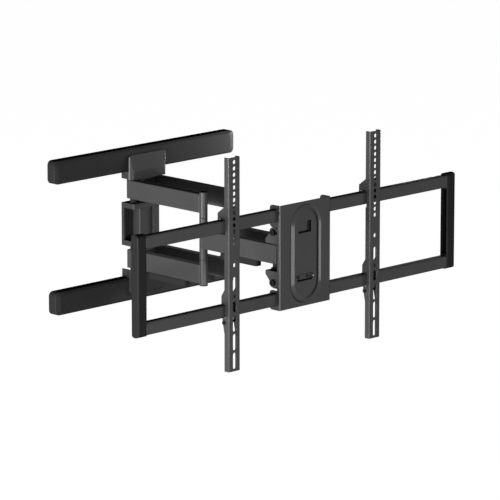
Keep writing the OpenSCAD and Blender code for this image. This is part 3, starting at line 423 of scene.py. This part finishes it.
@dataclass(frozen=True)
class WallColumn(SubAssembly):
    """The rails on the wall, their covers and the pivot column between them.

    Attributes:
        title: What the group is.
        steel: Finish of the folded steel.
        cover: Finish of the rail covers and the lower pivot cover.
        painted_light_cover: Finish of the upper pivot cover: the cover plastic in a lighter tone,
            painted light for the lit slope on its top.
        fastener: Finish of the bolts and nuts.
        bushing: Finish of the bushings.
    """

    title: str = "wall column"
    steel: Finish = Finish.STEEL
    cover: Finish = Finish.COVER
    painted_light_cover: Finish = Finish.PIVOT_COVER
    fastener: Finish = Finish.FASTENER
    bushing: Finish = Finish.BUSHING

    def finishes(self) -> dict[str, Finish]:
        """Choose the finish of each piece.

        Returns:
            The finishes, by the start of the piece's name.
        """
        return {
            "wall_rail": self.steel,
            "rail_cover": self.cover,
            # The upper pivot cover gets the lighter copy of the cover plastic as painted light;
            # the lower one keeps the plain cover
            "pivot_cover_upper": self.painted_light_cover,
            "pivot_cover_lower": self.cover,
            "spine": self.steel,
            "pivot_bracket": self.steel,
            "brace": self.steel,
            "wall_pivot_bolts": self.fastener,
            "wall_bushings": self.bushing,
            "wall_bolt_nuts": self.fastener,
        }


@dataclass(frozen=True)
class Arms(SubAssembly):
    """The two pairs of folding arms, their elbows and their cable covers.

    Attributes:
        title: What the group is.
        tube: Finish of the arms.
        rod: Finish of the elbow rods.
        washer: Finish of the elbow washers.
        cap: Finish of the elbow caps.
        clip: Finish of the cable covers.
    """

    title: str = "arms"
    tube: Finish = Finish.ARM
    rod: Finish = Finish.FASTENER
    washer: Finish = Finish.BUSHING
    cap: Finish = Finish.CAP
    clip: Finish = Finish.CLIP

    def finishes(self) -> dict[str, Finish]:
        """Choose the finish of each piece.

        Returns:
            The finishes, by the start of the piece's name.
        """
        return {
            "rear_arm": self.tube,
            "front_arm": self.tube,
            "elbow_rod": self.rod,
            "elbow_washers": self.washer,
            "elbow_caps": self.cap,
            "cable_cover": self.clip,
        }


@dataclass(frozen=True)
class Head(SubAssembly):
    """The yokes, the bracket that tilts in them and the levelling pivot.

    Attributes:
        title: What the group is.
        yoke: Finish of the yokes.
        bracket: Finish of the tilt bracket and the levelling pivot.
        fastener: Finish of the rods, bolts, washers, nuts and screws.
        bushing: Finish of the bushings.
    """

    title: str = "head"
    yoke: Finish = Finish.HEAD
    bracket: Finish = Finish.PLATE
    fastener: Finish = Finish.FASTENER
    bushing: Finish = Finish.BUSHING

    def finishes(self) -> dict[str, Finish]:
        """Choose the finish of each piece.

        Returns:
            The finishes, by the start of the piece's name.
        """
        return {
            "yoke": self.yoke,
            "head_rod": self.fastener,
            "head_bushings": self.bushing,
            "tilt_bracket": self.bracket,
            "tilt_bolts": self.fastener,
            "tilt_washers": self.fastener,
            "tilt_nuts": self.fastener,
            "level_pivot": self.bracket,
            "level_screws": self.fastener,
        }


@dataclass(frozen=True)
class ScreenFrame(SubAssembly):
    """The centre plate, the tube frame and the screen brackets.

    Attributes:
        title: What the group is.
        plate: Finish of the centre plate.
        rail: Finish of the frame's tubes.
        post: Finish of the end posts.
        bracket: Finish of the screen brackets.
        fastener: Finish of the screws and nuts.
    """

    title: str = "screen frame"
    plate: Finish = Finish.PLATE
    rail: Finish = Finish.RAIL
    post: Finish = Finish.CAP
    bracket: Finish = Finish.BRACKET
    fastener: Finish = Finish.FASTENER

    def finishes(self) -> dict[str, Finish]:
        """Choose the finish of each piece.

        Returns:
            The finishes, by the start of the piece's name.
        """
        return {
            "centre_plate": self.plate,
            "frame_rail": self.rail,
            "frame_post": self.post,
            "rail_clamp_screws": self.fastener,
            "screen_bracket": self.bracket,
            "lock_": self.fastener,
        }


# ---------- studio ----------


def direction(azimuth: float, elevation: float) -> Vector:
    """Return the unit vector from the object towards a point round it.

    Args:
        azimuth: Degrees round the object; 0 is in front of it, at -Y.
        elevation: Degrees above the horizon.

    Returns:
        The direction.
    """
    a, e = math.radians(azimuth), math.radians(elevation)
    return Vector((math.sin(a) * math.cos(e), -math.cos(a) * math.cos(e), math.sin(e)))


@dataclass(frozen=True)
class SoftBox:
    """A rectangular studio lamp.

    Attributes:
        name: Name of the lamp.
        aim: The point that it faces.
        offset: Where it stands, from that point, in metres.
        width: Width in metres.
        height: Height in metres.
        level: How bright a white surface at that point, facing the lamp, renders.
    """

    name: str
    aim: Vector
    offset: Vector
    width: float
    height: float
    level: float

    def build(self) -> bpy.types.Object:
        """Make the lamp, with the energy that gives its level at its distance.

        Returns:
            The lamp object.
        """
        data = bpy.data.lights.new(self.name, "AREA")
        data.shape = "RECTANGLE"
        data.size, data.size_y = self.width, self.height
        data.energy = self.level * (math.pi * self.offset.length) ** 2
        lamp = bpy.data.objects.new(self.name, data)
        lamp.location = self.aim + self.offset
        lamp.rotation_euler = self.offset.to_track_quat("Z", "Y").to_euler()
        lamp.visible_camera = False
        bpy.context.scene.collection.objects.link(lamp)
        return lamp


@dataclass
class Studio:
    """The floor, the light and the camera.

    Attributes:
        middle: Middle of the mount.
        aim_shift: Where the camera looks, from that middle.
        azimuth: The camera's azimuth in degrees.
        elevation: The camera's elevation in degrees.
        distance: How far the camera is from where it looks, in metres.
        lens: Focal length in millimetres.
        sensor: Width of the sensor in millimetres.
        floor_z: Height of the floor.
        floor_r: Half the width of the floor.
        floor_tone: How much light the floor sends back.
        floor_glow: How bright the floor is where it is seen.
        ambient: Level of the light from all round.
        lamp_reach: Distance of the two large lamps in metres.
        strip_reach: Where the strip lamp points, as a share of the wall cover's half width.
    """

    middle: Vector
    aim_shift: Vector = field(default_factory=lambda: Vector((0.0362, -0.0472, -0.0357)))
    azimuth: float = -45.0
    elevation: float = 12.17
    distance: float = 8.028
    lens: float = 285.2
    sensor: float = 36.0
    floor_z: float = -1.15
    floor_r: float = 14.0
    floor_tone: float = 0.8
    floor_glow: float = 0.96
    ambient: float = 0.035
    lamp_reach: float = 3.2
    strip_reach: float = 1.2

    @property
    def target(self) -> Vector:
        """Where the camera and the two large lamps are aimed."""
        return self.middle + self.aim_shift

    def lamps(self) -> list[SoftBox]:
        """Plan the lamps.

        Returns:
            A key on the left, a weak fill in front and a strip by the wall on the right.
        """
        low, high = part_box("rail_cover_upper")
        return [
            SoftBox(
                name="key",
                aim=self.target,
                offset=self.lamp_reach * direction(azimuth=-88.0, elevation=-4.0),
                width=1.2,
                height=0.4,
                level=0.76,
            ),
            SoftBox(
                name="fill",
                aim=self.target,
                offset=self.lamp_reach * direction(azimuth=-20.0, elevation=-12.0),
                width=3.8,
                height=0.6,
                level=0.34,
            ),
            SoftBox(
                name="wall_strip",
                aim=Vector((self.strip_reach * high[0], low[1], low[2])),
                offset=Vector((0.35, -0.16, 0.0)),
                width=0.25,
                height=0.12,
                level=5.8,
            ),
        ]

    def build(self) -> None:
        """Make the floor, the light and the camera."""
        self._floor()
        self._world()
        for lamp in self.lamps():
            lamp.build()
            LOG.info("lamp %s", lamp.name)
        self._camera()

    def _camera(self) -> None:
        """Make the camera."""
        data = bpy.data.cameras.new("camera")
        data.sensor_width = self.sensor
        data.lens = self.lens
        data.clip_start, data.clip_end = 0.1, 100.0
        camera = bpy.data.objects.new("camera", data)
        away = direction(self.azimuth, self.elevation)
        camera.location = self.target + away * self.distance
        camera.rotation_euler = away.to_track_quat("Z", "Y").to_euler()
        bpy.context.scene.collection.objects.link(camera)
        bpy.context.scene.camera = camera

    @staticmethod
    def _seen(graph: Graph) -> Socket:
        """Tell rays that see the backdrop itself from rays that carry light.

        Args:
            graph: The graph to add to.

        Returns:
            1 for camera rays and for rays mirrored or sent on by glass, otherwise 0.
        """
        path = graph.add("ShaderNodeLightPath")
        direct, gloss, glass = (
            path.outputs[f"Is {kind} Ray"] for kind in ("Camera", "Glossy", "Transmission")
        )
        return graph.calc("MAXIMUM", graph.calc("MAXIMUM", direct, gloss), glass)

    def _world(self) -> None:
        """Make the world: white where it is seen, dim where it lights the object."""
        world = bpy.data.worlds.new("studio")
        world.use_nodes = True
        graph = Graph(world.node_tree)
        back = graph.add("ShaderNodeBackground", Color=WHITE)
        strength = graph.ramp(self._seen(graph), (0.0, 1.0), (self.ambient, 1.0))
        graph.link(strength, back.inputs["Strength"])
        out = graph.add("ShaderNodeOutputWorld")
        graph.link(back.outputs["Background"], out.inputs["Surface"])
        bpy.context.scene.world = world
        bpy.context.scene.view_settings.view_transform = "Standard"

    def _floor(self) -> None:
        """Make the plain pale floor, which keeps the object's shadow."""
        data = bpy.data.meshes.new("floor")
        r, z = self.floor_r, self.floor_z
        data.from_pydata([(-r, -r, z), (r, -r, z), (r, r, z), (-r, r, z)], [], [(0, 1, 2, 3)])
        floor = bpy.data.objects.new("floor", data)
        bpy.context.scene.collection.objects.link(floor)
        material = bpy.data.materials.new("pale_floor")
        material.use_nodes = True
        graph = Graph(material.node_tree)
        tone = self.floor_tone
        matt = graph.add("ShaderNodeBsdfDiffuse", Color=(tone, tone, tone, 1.0))
        glow = graph.add("ShaderNodeEmission", Color=WHITE)
        strength = graph.ramp(self._seen(graph), (0.0, 1.0), (0.0, self.floor_glow))
        graph.link(strength, glow.inputs["Strength"])
        both = graph.add("ShaderNodeAddShader")
        graph.link(matt.outputs["BSDF"], both.inputs[0])
        graph.link(glow.outputs["Emission"], both.inputs[1])
        out = graph.add("ShaderNodeOutputMaterial")
        graph.link(both.outputs["Shader"], out.inputs["Surface"])
        floor.data.materials.append(material)
        floor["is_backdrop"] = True


def main() -> None:
    """Dress the mount, then set the studio round it."""
    logging.basicConfig(level=logging.INFO, format="%(message)s")
    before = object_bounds()
    for group in (WallColumn(), Arms(), Head(), ScreenFrame()):
        LOG.info("%s: %d pieces", group.title, group.dress())
    low, high = before
    Studio(middle=(low + high) / 2.0).build()


if __name__ == "__main__":
    main()
